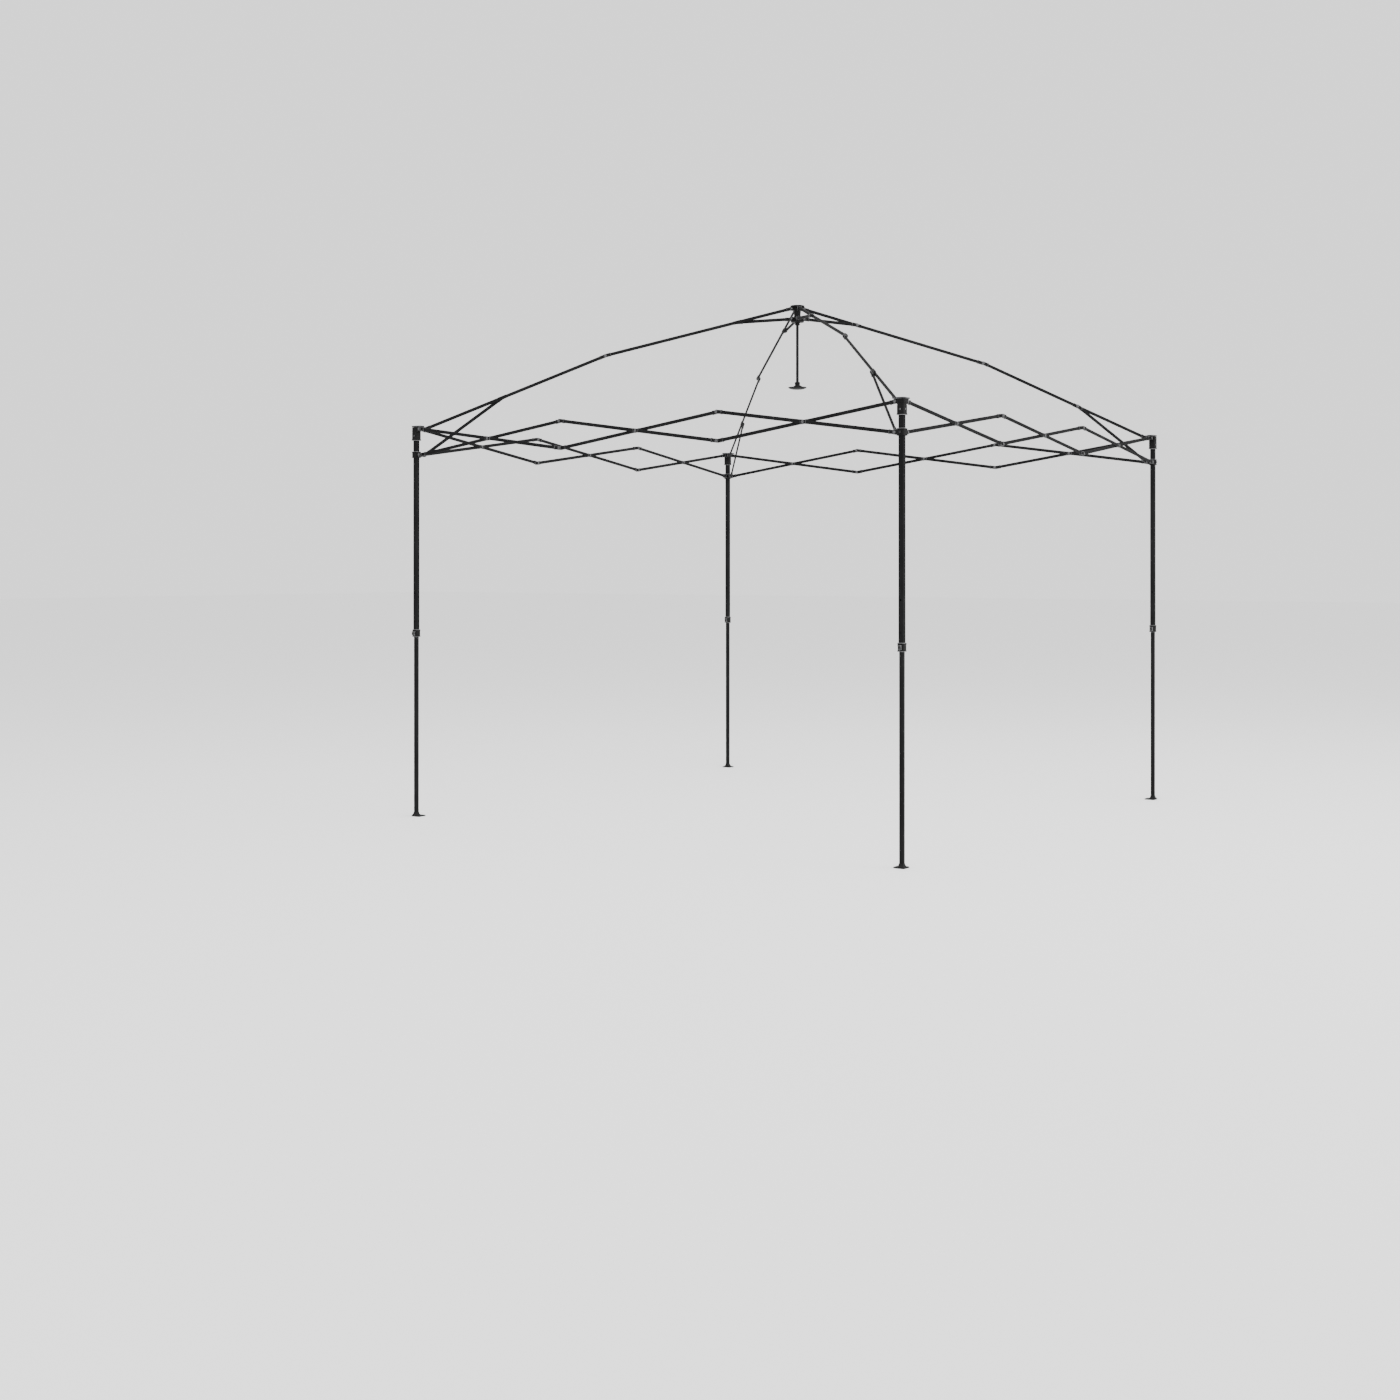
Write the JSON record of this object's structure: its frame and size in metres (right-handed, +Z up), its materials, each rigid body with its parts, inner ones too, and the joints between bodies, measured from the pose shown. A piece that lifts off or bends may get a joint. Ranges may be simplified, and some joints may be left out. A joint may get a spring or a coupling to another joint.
{
  "type": "pop up canopy",
  "caption": "Folding shelter frame with telescoping legs, scissor trusses round the eaves and a peaked roof frame raised by a centre push pole; no fabric top.",
  "frame": {"origin": "centre of the four foot plates, on the ground", "axes": "+Z up; X and Y along the sides of the square frame, which looks the same after a quarter turn"},
  "size_m": [3.0435, 3.033, 2.82],
  "materials": {
    "powder_coated_steel": "satin black powder coat",
    "moulded_plastic": "fine-textured black moulding"
  },
  "bodies": {
    "peak_hub": {"peak_hub": "moulded_plastic"},
    "runner": {"runner": "moulded_plastic", "push_pole": "powder_coated_steel", "push_disc": "moulded_plastic"},
    "peak_rafter_1": {"peak_rafter_1": "powder_coated_steel"},
    "eave_rafter_1": {"eave_rafter_1": "powder_coated_steel"},
    "outer_leg_1": {"outer_leg_1": "powder_coated_steel"},
    "inner_leg_1": {"inner_leg_1": "powder_coated_steel"},
    "slider_1": {"slider_1": "moulded_plastic"},
    "rafter_strut_1": {"rafter_strut_1": "powder_coated_steel"},
    "hub_strut_1": {"hub_strut_1": "powder_coated_steel"},
    "leg_lock_button_1": {"leg_lock_button_1": "moulded_plastic"},
    "truss_bar_a1_1": {"truss_bar_a1_1": "powder_coated_steel"},
    "truss_bar_a2_1": {"truss_bar_a2_1": "powder_coated_steel"},
    "truss_bar_a3_1": {"truss_bar_a3_1": "powder_coated_steel"},
    "truss_bar_b1_1": {"truss_bar_b1_1": "powder_coated_steel"},
    "truss_bar_b2_1": {"truss_bar_b2_1": "powder_coated_steel"},
    "truss_bar_b3_1": {"truss_bar_b3_1": "powder_coated_steel"},
    "peak_rafter_2": {"peak_rafter_2": "powder_coated_steel"},
    "eave_rafter_2": {"eave_rafter_2": "powder_coated_steel"},
    "outer_leg_2": {"outer_leg_2": "powder_coated_steel"},
    "inner_leg_2": {"inner_leg_2": "powder_coated_steel"},
    "slider_2": {"slider_2": "moulded_plastic"},
    "rafter_strut_2": {"rafter_strut_2": "powder_coated_steel"},
    "hub_strut_2": {"hub_strut_2": "powder_coated_steel"},
    "leg_lock_button_2": {"leg_lock_button_2": "moulded_plastic"},
    "truss_bar_a1_2": {"truss_bar_a1_2": "powder_coated_steel"},
    "truss_bar_a2_2": {"truss_bar_a2_2": "powder_coated_steel"},
    "truss_bar_a3_2": {"truss_bar_a3_2": "powder_coated_steel"},
    "truss_bar_b1_2": {"truss_bar_b1_2": "powder_coated_steel"},
    "truss_bar_b2_2": {"truss_bar_b2_2": "powder_coated_steel"},
    "truss_bar_b3_2": {"truss_bar_b3_2": "powder_coated_steel"},
    "peak_rafter_3": {"peak_rafter_3": "powder_coated_steel"},
    "eave_rafter_3": {"eave_rafter_3": "powder_coated_steel"},
    "outer_leg_3": {"outer_leg_3": "powder_coated_steel"},
    "inner_leg_3": {"inner_leg_3": "powder_coated_steel"},
    "slider_3": {"slider_3": "moulded_plastic"},
    "rafter_strut_3": {"rafter_strut_3": "powder_coated_steel"},
    "hub_strut_3": {"hub_strut_3": "powder_coated_steel"},
    "leg_lock_button_3": {"leg_lock_button_3": "moulded_plastic"},
    "truss_bar_a1_3": {"truss_bar_a1_3": "powder_coated_steel"},
    "truss_bar_a2_3": {"truss_bar_a2_3": "powder_coated_steel"},
    "truss_bar_a3_3": {"truss_bar_a3_3": "powder_coated_steel"},
    "truss_bar_b1_3": {"truss_bar_b1_3": "powder_coated_steel"},
    "truss_bar_b2_3": {"truss_bar_b2_3": "powder_coated_steel"},
    "truss_bar_b3_3": {"truss_bar_b3_3": "powder_coated_steel"},
    "peak_rafter_4": {"peak_rafter_4": "powder_coated_steel"},
    "eave_rafter_4": {"eave_rafter_4": "powder_coated_steel"},
    "outer_leg_4": {"outer_leg_4": "powder_coated_steel"},
    "inner_leg_4": {"inner_leg_4": "powder_coated_steel"},
    "slider_4": {"slider_4": "moulded_plastic"},
    "rafter_strut_4": {"rafter_strut_4": "powder_coated_steel"},
    "hub_strut_4": {"hub_strut_4": "powder_coated_steel"},
    "leg_lock_button_4": {"leg_lock_button_4": "moulded_plastic"},
    "truss_bar_a1_4": {"truss_bar_a1_4": "powder_coated_steel"},
    "truss_bar_a2_4": {"truss_bar_a2_4": "powder_coated_steel"},
    "truss_bar_a3_4": {"truss_bar_a3_4": "powder_coated_steel"},
    "truss_bar_b1_4": {"truss_bar_b1_4": "powder_coated_steel"},
    "truss_bar_b2_4": {"truss_bar_b2_4": "powder_coated_steel"},
    "truss_bar_b3_4": {"truss_bar_b3_4": "powder_coated_steel"}
  },
  "joints": [
    {"name": "canopy_fold", "type": "hinge", "parent": "peak_hub", "child": "peak_rafter_1", "pos_m": [0.02475, 0.02475, 2.8], "axis": [-0.7071, 0.7071, 0], "range_deg": [0, 70.83]},
    {"name": "knee_1_hinge", "type": "hinge", "parent": "peak_rafter_1", "child": "eave_rafter_1", "pos_m": [0.76792, 0.76792, 2.515], "axis": [-0.7071, 0.7071, 0], "range_deg": [-178, 0]},
    {"name": "corner_1_hinge", "type": "hinge", "parent": "eave_rafter_1", "child": "outer_leg_1", "pos_m": [1.46418, 1.46418, 2.098], "axis": [-0.7071, 0.7071, 0], "range_deg": [0, 107.17]},
    {"name": "truss_1_a1_hinge", "type": "hinge", "parent": "outer_leg_1", "child": "truss_bar_a1_1", "pos_m": [1.464, 1.496, 2.098], "axis": [0, 1, 0], "range_deg": [-75.85, 0]},
    {"name": "truss_1_cross_1", "type": "hinge", "parent": "truss_bar_a1_1", "child": "truss_bar_b1_1", "pos_m": [0.976, 1.496, 2.028], "axis": [0, 1, 0], "range_deg": [0, 151.68]},
    {"name": "slider_1_hinge", "type": "hinge", "parent": "truss_bar_b1_1", "child": "slider_1", "pos_m": [1.464, 1.496, 1.958], "axis": [0, 1, 0], "range_deg": [-75.85, 0]},
    {"name": "rafter_strut_1_hinge", "type": "hinge", "parent": "slider_1", "child": "rafter_strut_1", "pos_m": [1.46418, 1.46418, 1.958], "axis": [-0.7071, 0.7071, 0], "range_deg": [0, 47.9]},
    {"name": "truss_1_top_1", "type": "hinge", "parent": "truss_bar_b1_1", "child": "truss_bar_a2_1", "pos_m": [0.488, 1.496, 2.098], "axis": [0, 1, 0], "range_deg": [-151.68, 0]},
    {"name": "truss_1_cross_2", "type": "hinge", "parent": "truss_bar_a2_1", "child": "truss_bar_b2_1", "pos_m": [0, 1.496, 2.028], "axis": [0, 1, 0], "range_deg": [0, 151.68]},
    {"name": "truss_1_bottom_2", "type": "hinge", "parent": "truss_bar_a2_1", "child": "truss_bar_b3_1", "pos_m": [-0.488, 1.496, 1.958], "axis": [0, 1, 0], "range_deg": [0, 151.68]},
    {"name": "truss_1_cross_3", "type": "hinge", "parent": "truss_bar_b3_1", "child": "truss_bar_a3_1", "pos_m": [-0.976, 1.496, 2.028], "axis": [0, 1, 0], "range_deg": [-151.68, 0]},
    {"name": "hub_strut_1_hinge", "type": "hinge", "parent": "runner", "child": "hub_strut_1", "pos_m": [0.02475, 0.02475, 2.742], "axis": [-0.7071, 0.7071, 0], "range_deg": [-90.65, 0]},
    {"name": "leg_1_extension", "type": "slide", "parent": "outer_leg_1", "child": "inner_leg_1", "axis": [0, 0, 1], "range_m": [0, 0.9]},
    {"name": "leg_lock_1_press", "type": "slide", "parent": "outer_leg_1", "child": "leg_lock_button_1", "axis": [1, 0, 0], "range_m": [0, 0.004], "stiffness_N_per_m": 500},
    {"name": "peak_rafter_2_hinge", "type": "hinge", "parent": "peak_hub", "child": "peak_rafter_2", "pos_m": [-0.02475, 0.02475, 2.8], "axis": [-0.7071, -0.7071, 0], "range_deg": [0, 70.84]},
    {"name": "knee_2_hinge", "type": "hinge", "parent": "peak_rafter_2", "child": "eave_rafter_2", "pos_m": [-0.76792, 0.76792, 2.515], "axis": [-0.7071, -0.7071, 0], "range_deg": [-178, 0]},
    {"name": "corner_2_hinge", "type": "hinge", "parent": "eave_rafter_2", "child": "outer_leg_2", "pos_m": [-1.46418, 1.46418, 2.098], "axis": [-0.7071, -0.7071, 0], "range_deg": [0, 107.17]},
    {"name": "truss_2_a1_hinge", "type": "hinge", "parent": "outer_leg_2", "child": "truss_bar_a1_2", "pos_m": [-1.496, 1.464, 2.098], "axis": [-1, 0, 0], "range_deg": [-75.85, 0]},
    {"name": "truss_2_cross_1", "type": "hinge", "parent": "truss_bar_a1_2", "child": "truss_bar_b1_2", "pos_m": [-1.496, 0.976, 2.028], "axis": [-1, 0, 0], "range_deg": [0, 151.68]},
    {"name": "slider_2_hinge", "type": "hinge", "parent": "truss_bar_b1_2", "child": "slider_2", "pos_m": [-1.496, 1.464, 1.958], "axis": [-1, 0, 0], "range_deg": [-75.85, 0]},
    {"name": "rafter_strut_2_hinge", "type": "hinge", "parent": "slider_2", "child": "rafter_strut_2", "pos_m": [-1.46418, 1.46418, 1.958], "axis": [-0.7071, -0.7071, 0], "range_deg": [0, 47.9]},
    {"name": "truss_2_top_1", "type": "hinge", "parent": "truss_bar_b1_2", "child": "truss_bar_a2_2", "pos_m": [-1.496, 0.488, 2.098], "axis": [-1, 0, 0], "range_deg": [-151.68, 0]},
    {"name": "truss_2_cross_2", "type": "hinge", "parent": "truss_bar_a2_2", "child": "truss_bar_b2_2", "pos_m": [-1.496, 0, 2.028], "axis": [-1, 0, 0], "range_deg": [0, 151.68]},
    {"name": "truss_2_bottom_2", "type": "hinge", "parent": "truss_bar_a2_2", "child": "truss_bar_b3_2", "pos_m": [-1.496, -0.488, 1.958], "axis": [-1, 0, 0], "range_deg": [0, 151.68]},
    {"name": "truss_2_cross_3", "type": "hinge", "parent": "truss_bar_b3_2", "child": "truss_bar_a3_2", "pos_m": [-1.496, -0.976, 2.028], "axis": [-1, 0, 0], "range_deg": [-151.68, 0]},
    {"name": "hub_strut_2_hinge", "type": "hinge", "parent": "runner", "child": "hub_strut_2", "pos_m": [-0.02475, 0.02475, 2.742], "axis": [-0.7071, -0.7071, 0], "range_deg": [-90.65, 0]},
    {"name": "leg_2_extension", "type": "slide", "parent": "outer_leg_2", "child": "inner_leg_2", "axis": [0, 0, 1], "range_m": [0, 0.9]},
    {"name": "leg_lock_2_press", "type": "slide", "parent": "outer_leg_2", "child": "leg_lock_button_2", "axis": [1, 0, 0], "range_m": [0, 0.004], "stiffness_N_per_m": 500},
    {"name": "peak_rafter_3_hinge", "type": "hinge", "parent": "peak_hub", "child": "peak_rafter_3", "pos_m": [-0.02475, -0.02475, 2.8], "axis": [0.7071, -0.7071, 0], "range_deg": [0, 70.84]},
    {"name": "knee_3_hinge", "type": "hinge", "parent": "peak_rafter_3", "child": "eave_rafter_3", "pos_m": [-0.76792, -0.76792, 2.515], "axis": [0.7071, -0.7071, 0], "range_deg": [-178, 0]},
    {"name": "corner_3_hinge", "type": "hinge", "parent": "eave_rafter_3", "child": "outer_leg_3", "pos_m": [-1.46418, -1.46418, 2.098], "axis": [0.7071, -0.7071, 0], "range_deg": [0, 107.17]},
    {"name": "truss_3_a1_hinge", "type": "hinge", "parent": "outer_leg_3", "child": "truss_bar_a1_3", "pos_m": [-1.464, -1.496, 2.098], "axis": [0, -1, 0], "range_deg": [-75.85, 0]},
    {"name": "truss_3_cross_1", "type": "hinge", "parent": "truss_bar_a1_3", "child": "truss_bar_b1_3", "pos_m": [-0.976, -1.496, 2.028], "axis": [0, -1, 0], "range_deg": [0, 151.68]},
    {"name": "slider_3_hinge", "type": "hinge", "parent": "truss_bar_b1_3", "child": "slider_3", "pos_m": [-1.464, -1.496, 1.958], "axis": [0, -1, 0], "range_deg": [-75.85, 0]},
    {"name": "rafter_strut_3_hinge", "type": "hinge", "parent": "slider_3", "child": "rafter_strut_3", "pos_m": [-1.46418, -1.46418, 1.958], "axis": [0.7071, -0.7071, 0], "range_deg": [0, 47.9]},
    {"name": "truss_3_top_1", "type": "hinge", "parent": "truss_bar_b1_3", "child": "truss_bar_a2_3", "pos_m": [-0.488, -1.496, 2.098], "axis": [0, -1, 0], "range_deg": [-151.68, 0]},
    {"name": "truss_3_cross_2", "type": "hinge", "parent": "truss_bar_a2_3", "child": "truss_bar_b2_3", "pos_m": [0, -1.496, 2.028], "axis": [0, -1, 0], "range_deg": [0, 151.68]},
    {"name": "truss_3_bottom_2", "type": "hinge", "parent": "truss_bar_a2_3", "child": "truss_bar_b3_3", "pos_m": [0.488, -1.496, 1.958], "axis": [0, -1, 0], "range_deg": [0, 151.68]},
    {"name": "truss_3_cross_3", "type": "hinge", "parent": "truss_bar_b3_3", "child": "truss_bar_a3_3", "pos_m": [0.976, -1.496, 2.028], "axis": [0, -1, 0], "range_deg": [-151.68, 0]},
    {"name": "hub_strut_3_hinge", "type": "hinge", "parent": "runner", "child": "hub_strut_3", "pos_m": [-0.02475, -0.02475, 2.742], "axis": [0.7071, -0.7071, 0], "range_deg": [-90.65, 0]},
    {"name": "leg_3_extension", "type": "slide", "parent": "outer_leg_3", "child": "inner_leg_3", "axis": [0, 0, 1], "range_m": [0, 0.9]},
    {"name": "leg_lock_3_press", "type": "slide", "parent": "outer_leg_3", "child": "leg_lock_button_3", "axis": [1, 0, 0], "range_m": [0, 0.004], "stiffness_N_per_m": 500},
    {"name": "peak_rafter_4_hinge", "type": "hinge", "parent": "peak_hub", "child": "peak_rafter_4", "pos_m": [0.02475, -0.02475, 2.8], "axis": [0.7071, 0.7071, 0], "range_deg": [0, 70.84]},
    {"name": "knee_4_hinge", "type": "hinge", "parent": "peak_rafter_4", "child": "eave_rafter_4", "pos_m": [0.76792, -0.76792, 2.515], "axis": [0.7071, 0.7071, 0], "range_deg": [-178, 0]},
    {"name": "corner_4_hinge", "type": "hinge", "parent": "eave_rafter_4", "child": "outer_leg_4", "pos_m": [1.46418, -1.46418, 2.098], "axis": [0.7071, 0.7071, 0], "range_deg": [0, 107.17]},
    {"name": "truss_4_a1_hinge", "type": "hinge", "parent": "outer_leg_4", "child": "truss_bar_a1_4", "pos_m": [1.496, -1.464, 2.098], "axis": [1, 0, 0], "range_deg": [-75.85, 0]},
    {"name": "truss_4_cross_1", "type": "hinge", "parent": "truss_bar_a1_4", "child": "truss_bar_b1_4", "pos_m": [1.496, -0.976, 2.028], "axis": [1, 0, 0], "range_deg": [0, 151.68]},
    {"name": "slider_4_hinge", "type": "hinge", "parent": "truss_bar_b1_4", "child": "slider_4", "pos_m": [1.496, -1.464, 1.958], "axis": [1, 0, 0], "range_deg": [-75.85, 0]},
    {"name": "rafter_strut_4_hinge", "type": "hinge", "parent": "slider_4", "child": "rafter_strut_4", "pos_m": [1.46418, -1.46418, 1.958], "axis": [0.7071, 0.7071, 0], "range_deg": [0, 47.9]},
    {"name": "truss_4_top_1", "type": "hinge", "parent": "truss_bar_b1_4", "child": "truss_bar_a2_4", "pos_m": [1.496, -0.488, 2.098], "axis": [1, 0, 0], "range_deg": [-151.68, 0]},
    {"name": "truss_4_cross_2", "type": "hinge", "parent": "truss_bar_a2_4", "child": "truss_bar_b2_4", "pos_m": [1.496, 0, 2.028], "axis": [1, 0, 0], "range_deg": [0, 151.68]},
    {"name": "truss_4_bottom_2", "type": "hinge", "parent": "truss_bar_a2_4", "child": "truss_bar_b3_4", "pos_m": [1.496, 0.488, 1.958], "axis": [1, 0, 0], "range_deg": [0, 151.68]},
    {"name": "truss_4_cross_3", "type": "hinge", "parent": "truss_bar_b3_4", "child": "truss_bar_a3_4", "pos_m": [1.496, 0.976, 2.028], "axis": [1, 0, 0], "range_deg": [-151.68, 0]},
    {"name": "hub_strut_4_hinge", "type": "hinge", "parent": "runner", "child": "hub_strut_4", "pos_m": [0.02475, -0.02475, 2.742], "axis": [0.7071, 0.7071, 0], "range_deg": [-90.65, 0]},
    {"name": "leg_4_extension", "type": "slide", "parent": "outer_leg_4", "child": "inner_leg_4", "axis": [0, 0, 1], "range_m": [0, 0.9]},
    {"name": "leg_lock_4_press", "type": "slide", "parent": "outer_leg_4", "child": "leg_lock_button_4", "axis": [1, 0, 0], "range_m": [0, 0.004], "stiffness_N_per_m": 500},
    {"name": "runner_slide", "type": "slide", "parent": "peak_hub", "child": "runner", "axis": [0, 0, -1], "range_m": [0, 0.57034]}
  ],
  "couplings": [
    {"joint": "knee_1_hinge", "follows": "canopy_fold", "ratio": -2.513},
    {"joint": "corner_1_hinge", "follows": "canopy_fold", "ratio": 1.513},
    {"joint": "truss_1_a1_hinge", "follows": "canopy_fold", "ratio": -1.0707},
    {"joint": "truss_1_cross_1", "follows": "canopy_fold", "ratio": 2.1414},
    {"joint": "slider_1_hinge", "follows": "canopy_fold", "ratio": -1.0707},
    {"joint": "rafter_strut_1_hinge", "follows": "canopy_fold", "ratio": 0.67619},
    {"joint": "truss_1_top_1", "follows": "canopy_fold", "ratio": -2.1414},
    {"joint": "truss_1_cross_2", "follows": "canopy_fold", "ratio": 2.1414},
    {"joint": "truss_1_bottom_2", "follows": "canopy_fold", "ratio": 2.1414},
    {"joint": "truss_1_cross_3", "follows": "canopy_fold", "ratio": -2.1414},
    {"joint": "hub_strut_1_hinge", "follows": "canopy_fold", "ratio": -1.2797},
    {"joint": "peak_rafter_2_hinge", "follows": "canopy_fold", "ratio": 1},
    {"joint": "knee_2_hinge", "follows": "canopy_fold", "ratio": -2.513},
    {"joint": "corner_2_hinge", "follows": "canopy_fold", "ratio": 1.513},
    {"joint": "truss_2_a1_hinge", "follows": "canopy_fold", "ratio": -1.0707},
    {"joint": "truss_2_cross_1", "follows": "canopy_fold", "ratio": 2.1414},
    {"joint": "slider_2_hinge", "follows": "canopy_fold", "ratio": -1.0707},
    {"joint": "rafter_strut_2_hinge", "follows": "canopy_fold", "ratio": 0.67619},
    {"joint": "truss_2_top_1", "follows": "canopy_fold", "ratio": -2.1414},
    {"joint": "truss_2_cross_2", "follows": "canopy_fold", "ratio": 2.1414},
    {"joint": "truss_2_bottom_2", "follows": "canopy_fold", "ratio": 2.1414},
    {"joint": "truss_2_cross_3", "follows": "canopy_fold", "ratio": -2.1414},
    {"joint": "hub_strut_2_hinge", "follows": "canopy_fold", "ratio": -1.2797},
    {"joint": "peak_rafter_3_hinge", "follows": "canopy_fold", "ratio": 1},
    {"joint": "knee_3_hinge", "follows": "canopy_fold", "ratio": -2.513},
    {"joint": "corner_3_hinge", "follows": "canopy_fold", "ratio": 1.513},
    {"joint": "truss_3_a1_hinge", "follows": "canopy_fold", "ratio": -1.0707},
    {"joint": "truss_3_cross_1", "follows": "canopy_fold", "ratio": 2.1414},
    {"joint": "slider_3_hinge", "follows": "canopy_fold", "ratio": -1.0707},
    {"joint": "rafter_strut_3_hinge", "follows": "canopy_fold", "ratio": 0.67619},
    {"joint": "truss_3_top_1", "follows": "canopy_fold", "ratio": -2.1414},
    {"joint": "truss_3_cross_2", "follows": "canopy_fold", "ratio": 2.1414},
    {"joint": "truss_3_bottom_2", "follows": "canopy_fold", "ratio": 2.1414},
    {"joint": "truss_3_cross_3", "follows": "canopy_fold", "ratio": -2.1414},
    {"joint": "hub_strut_3_hinge", "follows": "canopy_fold", "ratio": -1.2797},
    {"joint": "peak_rafter_4_hinge", "follows": "canopy_fold", "ratio": 1},
    {"joint": "knee_4_hinge", "follows": "canopy_fold", "ratio": -2.513},
    {"joint": "corner_4_hinge", "follows": "canopy_fold", "ratio": 1.513},
    {"joint": "truss_4_a1_hinge", "follows": "canopy_fold", "ratio": -1.0707},
    {"joint": "truss_4_cross_1", "follows": "canopy_fold", "ratio": 2.1414},
    {"joint": "slider_4_hinge", "follows": "canopy_fold", "ratio": -1.0707},
    {"joint": "rafter_strut_4_hinge", "follows": "canopy_fold", "ratio": 0.67619},
    {"joint": "truss_4_top_1", "follows": "canopy_fold", "ratio": -2.1414},
    {"joint": "truss_4_cross_2", "follows": "canopy_fold", "ratio": 2.1414},
    {"joint": "truss_4_bottom_2", "follows": "canopy_fold", "ratio": 2.1414},
    {"joint": "truss_4_cross_3", "follows": "canopy_fold", "ratio": -2.1414},
    {"joint": "hub_strut_4_hinge", "follows": "canopy_fold", "ratio": -1.2797},
    {"joint": "runner_slide", "follows": "canopy_fold", "m_per_rad": 0.46137}
  ]
}
